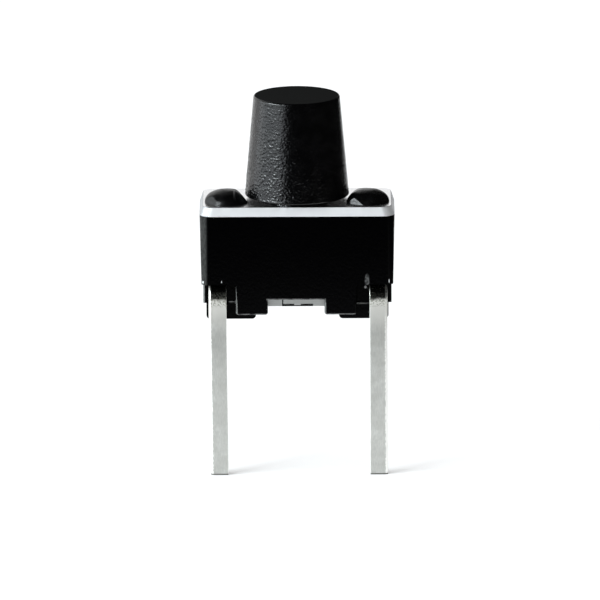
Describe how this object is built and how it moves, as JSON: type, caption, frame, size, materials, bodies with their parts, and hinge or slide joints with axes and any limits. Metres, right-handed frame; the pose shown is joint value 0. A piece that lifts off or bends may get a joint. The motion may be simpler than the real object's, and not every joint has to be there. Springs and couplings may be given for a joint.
{
  "type": "tactile push button switch",
  "caption": "Through-hole push button switch with a tall tapered round button, a steel cover held by melted posts, and bent strip legs.",
  "frame": {"origin": "on the button's axis, in the plane of the circuit board that the stand-off blocks rest on", "axes": "+Z towards the button, +X along the body's width, the legs leave at -Y"},
  "size_m": [0.006, 0.0032, 0.0119],
  "materials": {
    "housing_plastic": "black moulded, satin",
    "plate_steel": "bright rolled sheet",
    "button_plastic": "black moulded, fine grain",
    "dome_metal": "spring bronze",
    "tinned_strip": "tin plated, rolled"
  },
  "bodies": {
    "switch_base": {"housing": "housing_plastic", "cover_plate": "plate_steel", "snap_dome": "dome_metal", "left_terminal": "tinned_strip", "right_terminal": "tinned_strip"},
    "button": {"plunger": "button_plastic"}
  },
  "joints": [
    {"name": "button_press", "type": "slide", "parent": "switch_base", "child": "button", "axis": [0, 0, -1], "range_m": [0, 0.00012], "stiffness_N_per_m": 12000, "deforming": ["snap_dome"]}
  ]
}
